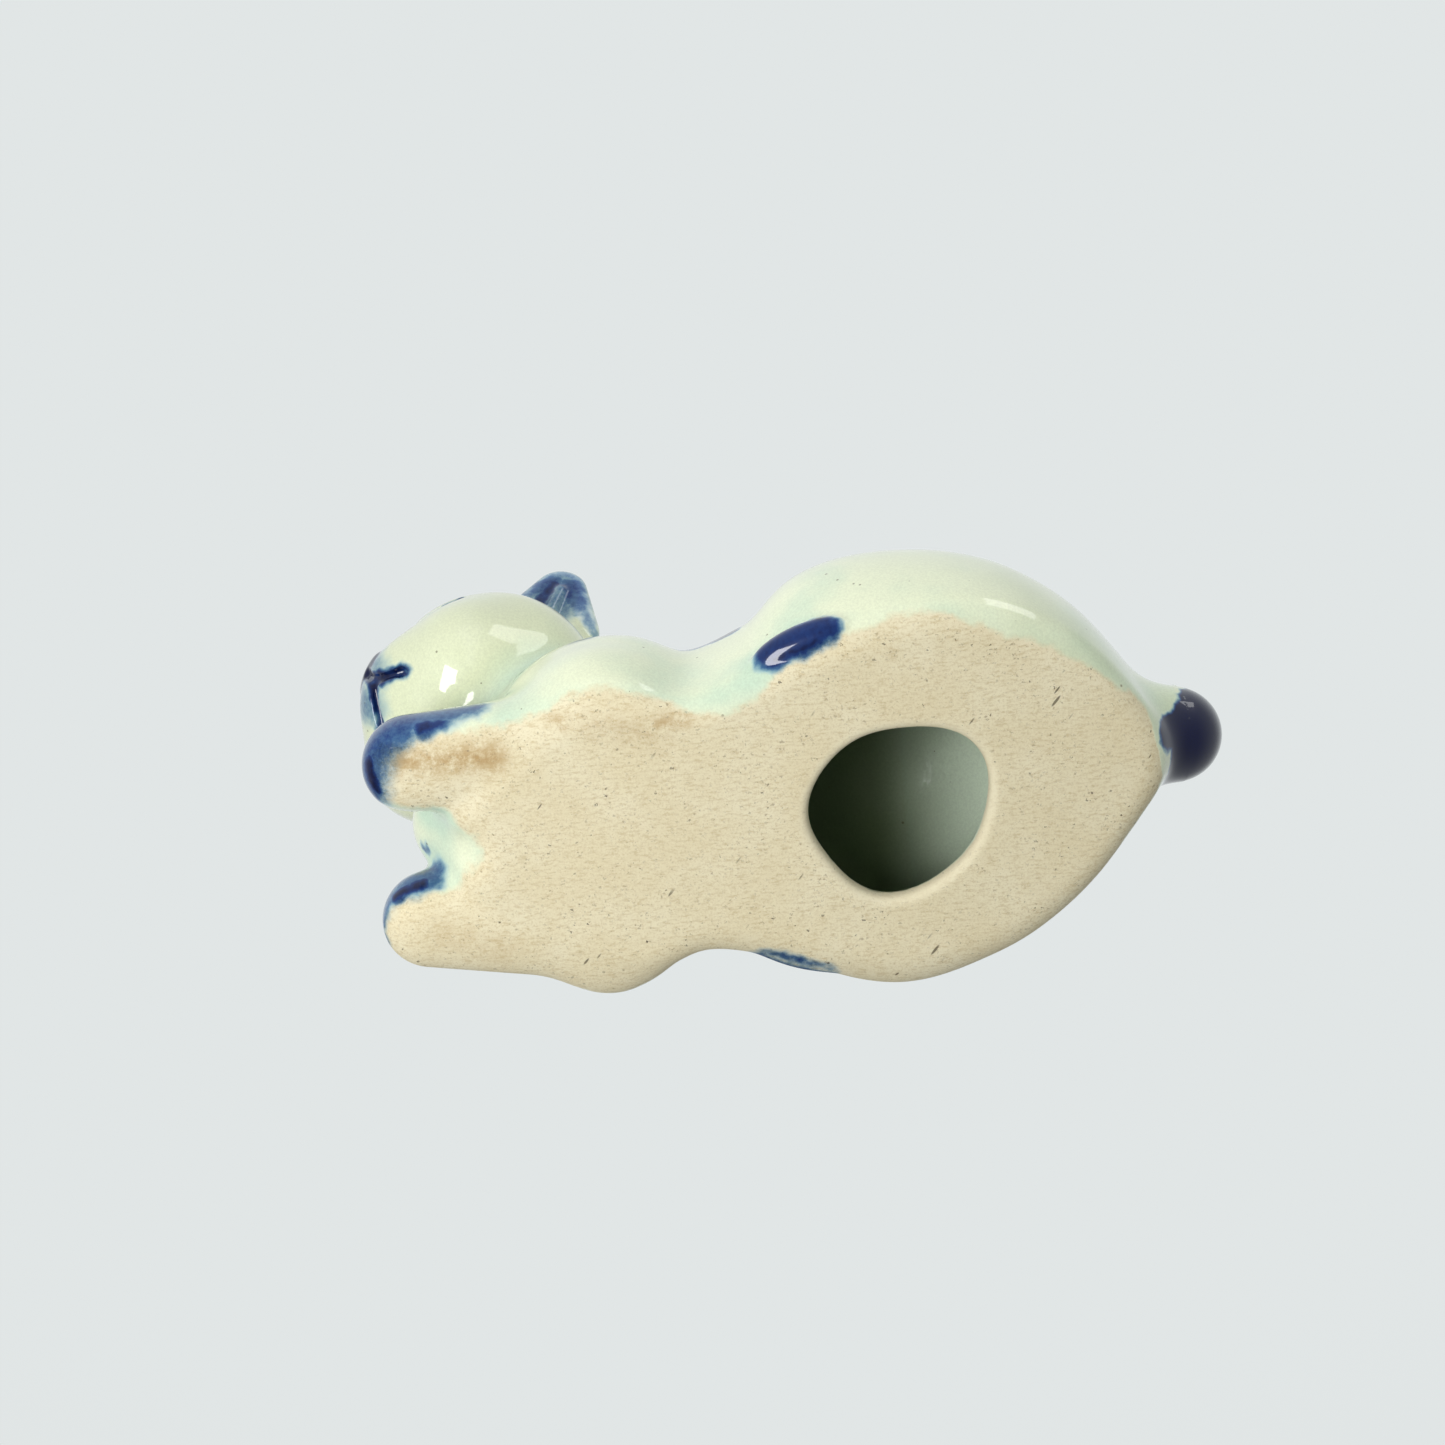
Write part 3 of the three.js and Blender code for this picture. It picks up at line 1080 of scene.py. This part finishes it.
class Recipe:
    """A material's nodes, made and joined one by one."""

    def __init__(self, tree: bpy.types.NodeTree) -> None:
        """Starts in an empty tree."""
        self.tree = tree
        tree.nodes.clear()

    def node(self, kind: str, feeds: dict[int | str, object], **settings: object) -> bpy.types.Node:
        """Adds a node.

        Args:
            kind: The node's type.
            feeds: A socket to join or a value to set, by the input's name or number.
            settings: The node's own settings.

        Returns:
            The node.
        """
        made = self.tree.nodes.new(kind)
        for name, value in settings.items():
            setattr(made, name, value)
        for key, value in feeds.items():
            if isinstance(value, Socket):
                self.tree.links.new(value, made.inputs[key])
            else:
                made.inputs[key].default_value = value
        return made

    def shaken(self, where: object, scale: float, detail: float, reach: Point) -> Socket:
        """Coordinates shaken by coloured noise, as far as a reach along each axis."""
        feeds = {"Vector": where, "Scale": scale, "Detail": detail}
        shake = self.node("ShaderNodeTexNoise", feeds).outputs["Color"]
        centred = self.vector("SUBTRACT", shake, (0.5, 0.5, 0.5)).outputs[0]
        return self.vector("MULTIPLY_ADD", centred, reach, where).outputs[0]

    def times(self, a: object, b: object) -> Socket:
        """One number times another."""
        return self.calc("MULTIPLY", a, b)

    def swung(self, cloud: object, reach: float, about: object) -> Socket:
        """A number swung about its own value by a cloud of 0 to 1."""
        return self.calc("MULTIPLY_ADD", self.calc("SUBTRACT", cloud, 0.5), reach, about)

    def calc(self, how: str, a: object, b: object = 0.0, c: object = 0.0, clamp: bool = False) -> Socket:
        """One step of arithmetic."""
        return self.node("ShaderNodeMath", {0: a, 1: b, 2: c}, operation=how, use_clamp=clamp).outputs[0]

    def vector(self, how: str, a: object, b: object = ORIGIN, c: object = ORIGIN) -> bpy.types.Node:
        """One step of vector arithmetic."""
        return self.node("ShaderNodeVectorMath", {0: a, 1: b, 2: c}, operation=how)

    def fade(self, value: object, start: object, end: object, low: float = 0.0, high: float = 1.0) -> Socket:
        """A smooth change from one number to another as a value goes from a start to an end."""
        feeds = {0: value, 1: start, 2: end, 3: low, 4: high}
        return self.node("ShaderNodeMapRange", feeds, interpolation_type="SMOOTHSTEP").outputs[0]

    def blend(self, share: object, a: object, b: object, how: str = "MIX") -> Socket:
        """Two colours blended."""
        a, b = ((*v, 1.0) if isinstance(v, tuple) else v for v in (a, b))
        made = self.node("ShaderNodeMix", {0: share, 6: a, 7: b}, data_type="RGBA", blend_type=how)
        return made.outputs[2]

    def noise(self, where: object, scale: float, detail: float = 2.0, rough: float = 0.5) -> Socket:
        """Cloudy noise from 0 to 1."""
        feeds = {"Vector": where, "Scale": scale, "Detail": detail, "Roughness": rough}
        return self.node("ShaderNodeTexNoise", feeds).outputs["Fac"]

    def mark(self, name: str) -> Socket:
        """A number that the skin carries."""
        return self.node("ShaderNodeAttribute", {}, attribute_name=name).outputs["Fac"]

    def specks(self, where: object, scale: float, size: float, share: float) -> Socket:
        """Scattered round specks.

        Args:
            where: The coordinates.
            scale: Cells to a millimetre.
            size: A speck's radius in cells.
            share: How many cells have one.

        Returns:
            1 in a speck and 0 outside.
        """
        cells = self.node("ShaderNodeTexVoronoi", {"Vector": where, "Scale": scale})
        drawn = self.node("ShaderNodeSeparateColor", {0: cells.outputs["Color"]})
        reach = self.fade(drawn.outputs[0], 1.0 - share, 1.0, 0.0, size)
        inner = self.times(reach, 0.6)
        return self.fade(cells.outputs["Distance"], reach, inner, 0.0, 1.0)


def stroke_group() -> bpy.types.NodeTree:
    """The group that says how much colour a brush stroke leaves at a place.

    Returns:
        The group.
    """
    tree = bpy.data.node_groups.new("brush_stroke", "ShaderNodeTree")
    for name in ("Place", "Start", "End"):
        tree.interface.new_socket(name, in_out="INPUT", socket_type="NodeSocketVector")
    for name in ("First", "Last", "Soft", "Load"):
        tree.interface.new_socket(name, in_out="INPUT", socket_type="NodeSocketFloat")
    tree.interface.new_socket("Colour", in_out="OUTPUT", socket_type="NodeSocketFloat")
    recipe = Recipe(tree)
    given = recipe.node("NodeGroupInput", {}).outputs
    reach = recipe.vector("SUBTRACT", given["Place"], given["Start"]).outputs[0]
    run = recipe.vector("SUBTRACT", given["End"], given["Start"]).outputs[0]
    along = recipe.vector("DOT_PRODUCT", reach, run).outputs["Value"]
    whole = recipe.vector("DOT_PRODUCT", run, run).outputs["Value"]
    share = recipe.calc("DIVIDE", along, whole, clamp=True)
    foot = recipe.node("ShaderNodeVectorMath", {0: run, "Scale": share}, operation="SCALE").outputs[0]
    away = recipe.vector("DISTANCE", reach, foot).outputs["Value"]
    width = recipe.node("ShaderNodeMapRange", {0: share, 3: given["First"], 4: given["Last"]}).outputs[0]
    past = recipe.calc("SUBTRACT", away, width)
    left = recipe.node(
        "ShaderNodeMapRange",
        {0: past, 1: given["Soft"], 2: recipe.times(given["Soft"], -0.6), 3: 0.0, 4: given["Load"]},
        interpolation_type="SMOOTHSTEP",
    )
    recipe.node("NodeGroupOutput", {0: left.outputs[0]})
    return tree


@dataclass(frozen=True)
class Biscuit:
    """The bare fired clay of the underside."""

    clay: Colour = (0.690, 0.605, 0.400)
    pale: Colour = (0.760, 0.700, 0.510)
    tan: Colour = (0.575, 0.475, 0.285)
    stain: Colour = (0.410, 0.260, 0.100)
    dust: Colour = (0.300, 0.235, 0.145)
    soot: Colour = (0.075, 0.055, 0.030)
    roughness: float = 0.62

    def colour(self, recipe: Recipe, where: object, stains: object, rim: object) -> Socket:
        """The clay's colour: clouds, fine grain, wiping marks, specks, scratches and stains.

        Args:
            recipe: Where the nodes are made.
            where: Coordinates in millimetres.
            stains: How stained the place is.
            rim: Millimetres from the casting hole's edge.

        Returns:
            The colour.
        """
        cloud = recipe.noise(where, 0.09, 3.0, 0.6)
        tone = recipe.blend(recipe.fade(cloud, 0.35, 0.7, 0.2, 0.8), self.clay, self.pale)
        streaked = recipe.vector("MULTIPLY", where, (1.0, 0.28, 1.0)).outputs[0]
        streaks = recipe.noise(streaked, 2.4, 3.0, 0.7)
        tone = recipe.blend(recipe.fade(streaks, 0.46, 0.68, 0.0, 0.75), tone, self.tan)
        grain = recipe.noise(where, 3.6, 3.0, 0.7)
        tone = recipe.blend(recipe.fade(grain, 0.52, 0.68, 0.0, 0.75), tone, self.tan)
        tone = recipe.blend(recipe.fade(grain, 0.46, 0.30, 0.0, 0.8), tone, self.pale)
        blots = recipe.fade(recipe.noise(where, 0.6, 5.0, 0.75), 0.30, 0.62)
        tone = recipe.blend(recipe.calc("MULTIPLY", stains, blots, clamp=True), tone, self.stain)
        crowd = recipe.fade(recipe.noise(where, 0.16, 3.0, 0.6), 0.38, 0.66, 0.35, 1.0)
        jog = recipe.shaken(where, 3.2, 1.0, (0.55, 0.9, 0.55))
        dust = recipe.specks(jog, 2.1, 0.40, 0.85)
        tone = recipe.blend(recipe.times(dust, recipe.times(crowd, 0.62)), tone, self.dust)
        pits = recipe.specks(recipe.vector("ADD", jog, (7.3, 1.9, 4.1)).outputs[0], 0.95, 0.20, 0.6)
        tone = recipe.blend(recipe.times(pits, recipe.times(crowd, 0.9)), tone, self.soot)
        feeds = {"Vector": where, "Angle": 0.9}
        turned = recipe.node("ShaderNodeVectorRotate", feeds, rotation_type="Z_AXIS")
        drawn_out = recipe.vector("MULTIPLY", turned.outputs[0], (1.0, 0.2, 1.0)).outputs[0]
        dashes = recipe.specks(drawn_out, 1.1, 0.24, 0.36)
        patchy = recipe.fade(recipe.noise(where, 0.12, 1.0), 0.50, 0.60, 0.0, 0.8)
        tone = recipe.blend(recipe.times(dashes, patchy), tone, self.soot)
        lip = recipe.fade(rim, 1.9, 0.4, 0.0, 0.55)
        return recipe.blend(lip, tone, self.pale)


@dataclass(frozen=True)
class Celadon:
    """The pale clear glaze: green where it pools, whiter where it thins, warmer over the head; painted shade
    darkens the hollow's lining towards the chest.
    """

    pale: Colour = (0.755, 0.795, 0.580)
    pooled: Colour = (0.540, 0.680, 0.530)
    olive: Colour = (0.560, 0.620, 0.420)
    thin: Colour = (0.840, 0.865, 0.740)
    cream: Colour = (0.585, 0.615, 0.405)
    inner: Colour = (0.660, 0.770, 0.600)
    # Painted shade: the dark end of the hollow's lining, towards the chest.
    deep: Colour = (0.140, 0.180, 0.095)
    dot: Colour = (0.130, 0.110, 0.060)
    roughness: float = 0.3
    coat_roughness: float = 0.025
    coat_ior: float = 1.52
    specular: float = 0.15

    def colour(self, recipe: Recipe, where: object) -> Socket:
        """The glaze's colour.

        Args:
            recipe: Where the nodes are made.
            where: Coordinates in millimetres.

        Returns:
            The colour.
        """
        pool, warm = (recipe.mark(name) for name in ("pool", "warm"))
        drift = recipe.noise(where, 0.075, 2.0, 0.5)
        fine = recipe.noise(where, 0.5, 2.0, 0.5)
        depth = recipe.swung(drift, 1.1, pool)
        depth = recipe.swung(fine, 0.14, depth)
        tone = recipe.blend(recipe.fade(depth, 0.0, 0.55), self.pale, self.pooled)
        tone = recipe.blend(recipe.fade(depth, -0.06, -0.34, 0.0, 0.75), tone, self.thin)
        split = recipe.node("ShaderNodeSeparateXYZ", {0: where})
        # Darker olive clouds over the glaze, stronger towards the rear.
        behind = recipe.fade(split.outputs[1], 14.0, 40.0)
        clouded = recipe.fade(recipe.noise(where, 0.09, 1.0), 0.25, 0.75)
        olive_toward_rear = recipe.times(behind, clouded)
        tone = recipe.blend(recipe.times(olive_toward_rear, 0.8), tone, self.olive)
        warmth = recipe.times(warm, recipe.fade(depth, -0.5, 0.1, 0.55, 1.0))
        tone = recipe.blend(warmth, tone, self.cream)
        # Painted shade: the hollow's lining darkens from the rear towards the chest, standing in for the
        # shade inside the casting.
        painted_shade_toward_chest = recipe.fade(split.outputs[1], 13.0, 27.0)
        lining_with_painted_shade = recipe.blend(painted_shade_toward_chest, self.deep, self.inner)
        tone = recipe.blend(recipe.mark("inside"), tone, lining_with_painted_shade)
        grain = recipe.fade(recipe.noise(where, 3.0, 3.0, 0.7), 0.30, 0.70, 0.93, 1.05)
        tone = recipe.node("ShaderNodeVectorMath", {0: tone, "Scale": grain}, operation="SCALE").outputs[0]
        dots = recipe.specks(where, 0.5, 0.12, 0.35)
        return recipe.blend(recipe.times(dots, 0.7), tone, self.dot)


@dataclass(frozen=True)
class Cobalt:
    """Cobalt brushed under the glaze, from a thin grey-blue wash to nearly black."""

    loads: tuple[tuple[float, Colour], ...] = (
        (0.0, (1.0, 1.0, 1.0)),
        (0.12, (0.70, 0.80, 0.98)),
        (0.28, (0.29, 0.44, 0.72)),
        (0.46, (0.07, 0.17, 0.46)),
        (0.68, (0.008, 0.040, 0.26)),
        (1.0, (0.001, 0.004, 0.070)),
    )

    def over(self, recipe: Recipe, load: object, ground: object) -> Socket:
        """The ground's colour seen through the cobalt."""
        ramp = recipe.node("ShaderNodeValToRGB", {0: load})
        stops = ramp.color_ramp.elements
        stops[0].position, stops[1].position = self.loads[0][0], self.loads[-1][0]
        stops[0].color, stops[1].color = (*self.loads[0][1], 1.0), (*self.loads[-1][1], 1.0)
        for place, tint in self.loads[1:-1]:
            stops.new(place).color = (*tint, 1.0)
        return recipe.blend(1.0, ground, ramp.outputs[0], "MULTIPLY")


@dataclass(frozen=True)
class FiredSurface:
    """The whole fired surface: bare clay, glaze and the brushwork between them."""

    strokes: tuple[Stroke, ...]
    stains: tuple[Stroke, ...]
    biscuit: Biscuit = Biscuit()
    celadon: Celadon = Celadon()
    cobalt: Cobalt = Cobalt()

    def laid(self, recipe: Recipe, where: object, strokes: Iterable[Stroke]) -> Socket:
        """How much colour some strokes leave together.

        Args:
            recipe: Where the nodes are made.
            where: Coordinates in millimetres.
            strokes: The strokes.

        Returns:
            The largest of their loads.
        """
        group = bpy.data.node_groups.get("brush_stroke") or stroke_group()
        total: object = 0.0
        for stroke in strokes:
            values = (where, stroke.start, stroke.end, *stroke.widths, stroke.soft, stroke.load)
            made = recipe.node("ShaderNodeGroup", dict(enumerate(values)), node_tree=group)
            total = recipe.calc("MAXIMUM", made.outputs[0], total)
        return total

    def material(self, name: str) -> bpy.types.Material:
        """Builds the material.

        Args:
            name: The material's name.

        Returns:
            The material.
        """
        made = bpy.data.materials.new(name)
        made.use_nodes = True
        recipe = Recipe(made.node_tree)
        place = recipe.node("ShaderNodeTexCoord", {}).outputs["Object"]
        where = recipe.node("ShaderNodeVectorMath", {0: place, "Scale": MM}, operation="SCALE").outputs[0]
        brushed = recipe.shaken(where, 0.5, 1.5, (1.7, 1.7, 1.7))
        laid = self.laid(recipe, brushed, self.strokes)
        mottle = recipe.noise(where, 1.5, 4.0, 0.75)
        patch = recipe.fade(laid, 0.0, 0.35)
        uneven = recipe.times(recipe.calc("SUBTRACT", mottle, 0.5), recipe.times(patch, 0.5))
        load = recipe.calc("ADD", laid, uneven, clamp=True)
        bare, rim = recipe.mark("bare"), recipe.mark("rim")
        ragged = recipe.noise(where, 0.34, 4.0, 0.6)
        line = recipe.swung(ragged, 2.4, bare)
        glazed = recipe.fade(line, -0.55, 0.5)
        stains = self.laid(recipe, where, self.stains)
        clay = self.biscuit.colour(recipe, where, stains, rim)
        glaze = self.celadon.colour(recipe, where)
        ground = recipe.blend(glazed, clay, glaze)
        soaked = recipe.times(load, recipe.fade(line, -2.8, -0.2))
        colour = self.cobalt.over(recipe, soaked, ground)
        pores = recipe.noise(where, 4.0, 3.0, 0.7)
        ripple = recipe.noise(where, 0.22, 1.0, 0.4)
        step = recipe.times(glazed, 1.6)
        unglazed = recipe.calc("SUBTRACT", 1.0, glazed)
        height = recipe.calc("MULTIPLY_ADD", unglazed, recipe.times(pores, 0.55), step)
        height = recipe.calc("MULTIPLY_ADD", ripple, 0.7, height)
        bump = recipe.node("ShaderNodeBump", {"Strength": 0.35, "Distance": 0.00012, "Height": height})
        rough = recipe.fade(glazed, 0.0, 1.0, self.biscuit.roughness, self.celadon.roughness)
        shine = recipe.times(glazed, recipe.fade(recipe.mark("inside"), 0.0, 1.0, 1.0, 0.15))
        shader = recipe.node(
            "ShaderNodeBsdfPrincipled",
            {"Base Color": colour, "Roughness": rough, "Coat Weight": shine, "Normal": bump.outputs[0]},
        )
        shader.inputs["Coat Roughness"].default_value = self.celadon.coat_roughness
        shader.inputs["Coat IOR"].default_value = self.celadon.coat_ior
        shader.inputs["Specular IOR Level"].default_value = self.celadon.specular
        recipe.node("ShaderNodeOutputMaterial", {0: shader.outputs[0]})
        return made


# ---- The studio ----------------------------------------------------------------------------------


@dataclass(frozen=True)
class Softbox:
    """A flat lamp that faces the animal."""

    name: str
    toward: Point
    reach: float
    size: tuple[float, float]
    power: float
    mirrored: bool = False

    def hang(self, middle: Vector) -> None:
        """Puts the lamp in the scene.

        Args:
            middle: What it faces, in metres.
        """
        lamp = bpy.data.lights.new(self.name, "AREA")
        lamp.shape = "RECTANGLE"
        lamp.size, lamp.size_y = self.size
        lamp.energy = self.power
        holder = bpy.data.objects.new(self.name, lamp)
        away = Vector(self.toward).normalized()
        holder.location = middle + away * self.reach
        holder.visible_glossy = self.mirrored
        holder.rotation_mode = "QUATERNION"
        holder.rotation_quaternion = away.to_track_quat("Z", "Y")
        bpy.context.scene.collection.objects.link(holder)


@dataclass(frozen=True)
class Studio:
    """The camera, the pale floor, the pale room and the soft lamps."""

    eye: Point = (102.4, -7.8, -245.4)
    back: Point = (0.342, 0.0, -0.940)
    roll: float = -4.0
    lens: float = 51.3
    room: Colour = (0.955, 1.0, 1.0)
    room_light: Point = (0.22, 0.50, 0.79)
    floor_tone: Colour = (0.74, 0.75, 0.75)
    lamps: tuple[Softbox, ...] = (
        Softbox("window", (0.18, -0.56, -0.81), 0.28, (0.13, 0.10), 0.42, True),
        Softbox("sky_panel", (1.0, 0.05, -0.35), 0.70, (0.55, 0.45), 1.2),
        Softbox("front_fill", (0.30, -0.30, -0.95), 0.70, (0.2, 0.2), 1.1),
        Softbox("overhead", (0.25, -0.35, 1.0), 0.60, (0.40, 0.40), 1.8),
        Softbox("garden_window", (0.80, 0.56, 0.10), 0.60, (0.20, 0.26), 0.42, True),
    )

    def set_up(self) -> None:
        """Builds the studio round the animal."""
        self.camera()
        low, high = (Vector(corner) for corner in CAD_BOX)
        for lamp in self.lamps:
            lamp.hang((low + high) / 2.0)
        self.floor()
        self.walls()
        bpy.context.scene.view_settings.view_transform = "Standard"

    def walls(self) -> None:
        """The pale room: brightest overhead, dimmest underneath."""
        world = bpy.data.worlds.new("pale_room")
        world.use_nodes = True
        recipe = Recipe(world.node_tree)
        toward = recipe.node("ShaderNodeTexCoord", {}).outputs["Generated"]
        height = recipe.node("ShaderNodeSeparateXYZ", {0: toward}).outputs[2]
        below, level, above = self.room_light
        low_half = recipe.fade(height, -1.0, 0.1, below, level)
        light = recipe.calc("ADD", low_half, recipe.fade(height, 0.1, 0.8, 0.0, above - level))
        sky = recipe.node("ShaderNodeBackground", {0: (*self.room, 1.0), 1: light})
        recipe.node("ShaderNodeOutputWorld", {0: sky.outputs[0]})
        bpy.context.scene.world = world

    def camera(self) -> None:
        """The camera, low in front of the underside."""
        view = bpy.data.cameras.new("camera")
        view.lens, view.sensor_width = self.lens, 36.0
        back = Vector(self.back).normalized()
        roll = Matrix.Rotation(math.radians(self.roll), 3, back)
        across = roll @ Vector((0.0, 1.0, 0.0))
        turn = Matrix((across, back.cross(across), back)).transposed().to_4x4()
        holder = bpy.data.objects.new("camera", view)
        holder.matrix_world = Matrix.Translation(Vector(self.eye) / MM) @ turn
        bpy.context.scene.collection.objects.link(holder)
        bpy.context.scene.camera = holder

    def floor(self) -> None:
        """The pale floor, which shows and takes shadows from above and lets the underside be seen."""
        mesh = bpy.data.meshes.new("floor")
        form = bmesh.new()
        bmesh.ops.create_grid(form, x_segments=2, y_segments=2, size=1.6)
        form.to_mesh(mesh)
        form.free()
        sheet = bpy.data.objects.new("floor", mesh)
        paint = bpy.data.materials.new("pale_floor")
        paint.use_nodes = True
        recipe = Recipe(paint.node_tree)
        under = recipe.node("ShaderNodeNewGeometry", {}).outputs["Backfacing"]
        matt = recipe.node("ShaderNodeBsdfDiffuse", {0: (*self.floor_tone, 1.0)})
        clear = recipe.node("ShaderNodeBsdfTransparent", {})
        both = recipe.node("ShaderNodeMixShader", {0: under, 1: matt.outputs[0], 2: clear.outputs[0]})
        recipe.node("ShaderNodeOutputMaterial", {0: both.outputs[0]})
        mesh.materials.append(paint)
        sheet.visible_diffuse = sheet.visible_glossy = sheet.visible_shadow = False
        bpy.context.scene.collection.objects.link(sheet)


# ---- Making --------------------------------------------------------------------------------------


def brushwork(dog: Dog) -> tuple[Stroke, ...]:
    """Every touch of cobalt, part by part."""
    parts = [dog.head, dog.tail, *dog.ears.values(), *dog.feet.values(), *dog.forelegs.values(), dog.trunk]
    return tuple(stroke for part in parts for stroke in part.strokes())


def main() -> None:
    """Builds the animal, its finishes and its studio, in order."""
    logging.basicConfig(level=logging.INFO, format="%(message)s")
    Studio().set_up()
    dog = Dog()
    surface = FiredSurface(brushwork(dog), dog.trunk.stains())
    finishes = {slot: surface.material(slot) for slot in ("celadon_glaze", "cobalt_glaze")}
    for piece in cut_pieces(dog):
        made = piece.make()
        slot = "cobalt_glaze" if piece.name.endswith(("ear", "hind_foot", "tail")) else "celadon_glaze"
        made.data.materials.append(finishes[slot])


if __name__ == "__main__":
    main()
